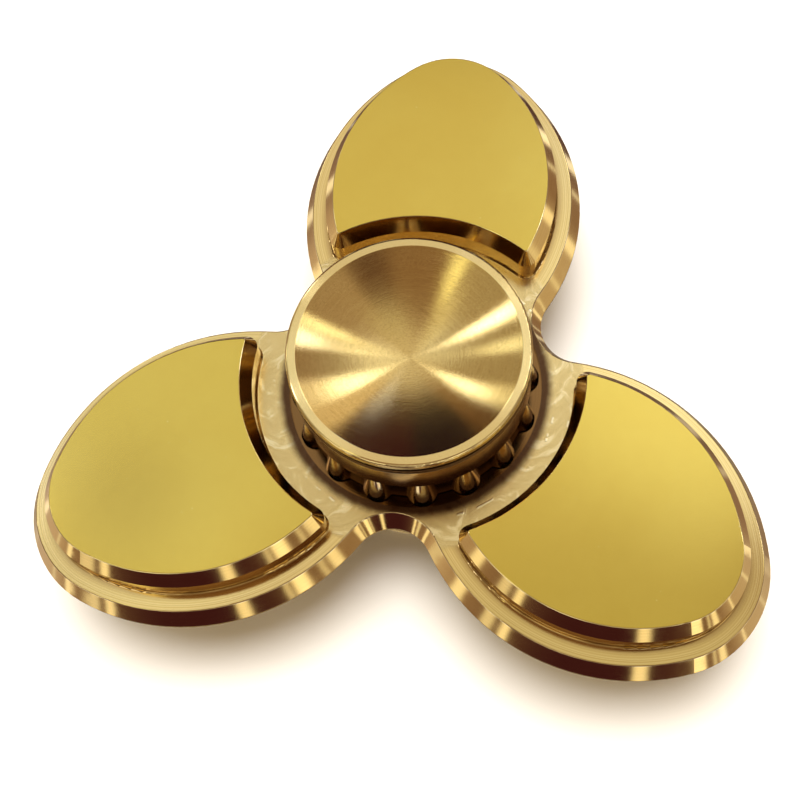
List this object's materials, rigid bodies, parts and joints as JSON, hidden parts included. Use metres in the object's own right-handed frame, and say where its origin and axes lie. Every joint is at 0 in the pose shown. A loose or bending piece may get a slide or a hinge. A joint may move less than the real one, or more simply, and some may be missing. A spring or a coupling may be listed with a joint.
{
  "type": "fidget spinner",
  "caption": "Handheld spinner with petal lobes and raised bevelled pads round a bearing hub, held and spun between two dished finger buttons.",
  "frame": {"origin": "on the spin axis, half way between the two button faces", "axes": "+Z along the spin axis out of the top button, +Y along one lobe, +X to the right"},
  "size_m": [0.0586, 0.0537, 0.0198],
  "materials": {
    "plate_brass": "satin pads, turned and milled edges",
    "hub_brass": "turned, polished",
    "button_brass": "turned dish with a polished lip",
    "race_steel": "ground",
    "ball_steel": "polished",
    "cage_steel": "pressed",
    "shield_steel": "pressed",
    "clip_steel": "spring wire",
    "stud_steel": "rolled thread"
  },
  "bodies": {
    "held_group": {"top_button": "button_brass", "bottom_button": "button_brass", "axle_stud": "stud_steel", "bearing_inner_race": "race_steel"},
    "rotor": {"rotor_body": "plate_brass", "hub_lock_nut": "hub_brass", "hub_sleeve": "hub_brass", "bearing_outer_race": "race_steel", "bearing_shield_top": "shield_steel", "bearing_shield_bottom": "shield_steel", "shield_clip_top": "clip_steel", "shield_clip_bottom": "clip_steel"},
    "cage": {"bearing_cage": "cage_steel"},
    "ball_01": {"bearing_ball_01": "ball_steel"},
    "ball_02": {"bearing_ball_02": "ball_steel"},
    "ball_03": {"bearing_ball_03": "ball_steel"},
    "ball_04": {"bearing_ball_04": "ball_steel"},
    "ball_05": {"bearing_ball_05": "ball_steel"},
    "ball_06": {"bearing_ball_06": "ball_steel"},
    "ball_07": {"bearing_ball_07": "ball_steel"},
    "ball_08": {"bearing_ball_08": "ball_steel"},
    "ball_09": {"bearing_ball_09": "ball_steel"},
    "ball_10": {"bearing_ball_10": "ball_steel"}
  },
  "joints": [
    {"name": "rotor_spin", "type": "hinge", "parent": "held_group", "child": "rotor", "pos_m": [0, 0, 0], "axis": [0, 0, 1], "continuous": true},
    {"name": "cage_orbit", "type": "hinge", "parent": "held_group", "child": "cage", "pos_m": [0, 0, 0], "axis": [0, 0, 1], "continuous": true},
    {"name": "ball_roll_01", "type": "hinge", "parent": "cage", "child": "ball_01", "pos_m": [0.00476, 0, 0], "axis": [0, 0, 1], "continuous": true},
    {"name": "ball_roll_02", "type": "hinge", "parent": "cage", "child": "ball_02", "pos_m": [0.00385, 0.0028, 0], "axis": [0, 0, 1], "continuous": true},
    {"name": "ball_roll_03", "type": "hinge", "parent": "cage", "child": "ball_03", "pos_m": [0.00147, 0.00453, 0], "axis": [0, 0, 1], "continuous": true},
    {"name": "ball_roll_04", "type": "hinge", "parent": "cage", "child": "ball_04", "pos_m": [-0.00147, 0.00453, 0], "axis": [0, 0, 1], "continuous": true},
    {"name": "ball_roll_05", "type": "hinge", "parent": "cage", "child": "ball_05", "pos_m": [-0.00385, 0.0028, 0], "axis": [0, 0, 1], "continuous": true},
    {"name": "ball_roll_06", "type": "hinge", "parent": "cage", "child": "ball_06", "pos_m": [-0.00476, 0, 0], "axis": [0, 0, 1], "continuous": true},
    {"name": "ball_roll_07", "type": "hinge", "parent": "cage", "child": "ball_07", "pos_m": [-0.00385, -0.0028, 0], "axis": [0, 0, 1], "continuous": true},
    {"name": "ball_roll_08", "type": "hinge", "parent": "cage", "child": "ball_08", "pos_m": [-0.00147, -0.00453, 0], "axis": [0, 0, 1], "continuous": true},
    {"name": "ball_roll_09", "type": "hinge", "parent": "cage", "child": "ball_09", "pos_m": [0.00147, -0.00453, 0], "axis": [0, 0, 1], "continuous": true},
    {"name": "ball_roll_10", "type": "hinge", "parent": "cage", "child": "ball_10", "pos_m": [0.00385, -0.0028, 0], "axis": [0, 0, 1], "continuous": true}
  ],
  "couplings": [
    {"joint": "cage_orbit", "follows": "rotor_spin", "ratio": 0.58336},
    {"joint": "ball_roll_01", "follows": "rotor_spin", "ratio": 2.9157},
    {"joint": "ball_roll_02", "follows": "rotor_spin", "ratio": 2.9157},
    {"joint": "ball_roll_03", "follows": "rotor_spin", "ratio": 2.9157},
    {"joint": "ball_roll_04", "follows": "rotor_spin", "ratio": 2.9157},
    {"joint": "ball_roll_05", "follows": "rotor_spin", "ratio": 2.9157},
    {"joint": "ball_roll_06", "follows": "rotor_spin", "ratio": 2.9157},
    {"joint": "ball_roll_07", "follows": "rotor_spin", "ratio": 2.9157},
    {"joint": "ball_roll_08", "follows": "rotor_spin", "ratio": 2.9157},
    {"joint": "ball_roll_09", "follows": "rotor_spin", "ratio": 2.9157},
    {"joint": "ball_roll_10", "follows": "rotor_spin", "ratio": 2.9157}
  ]
}
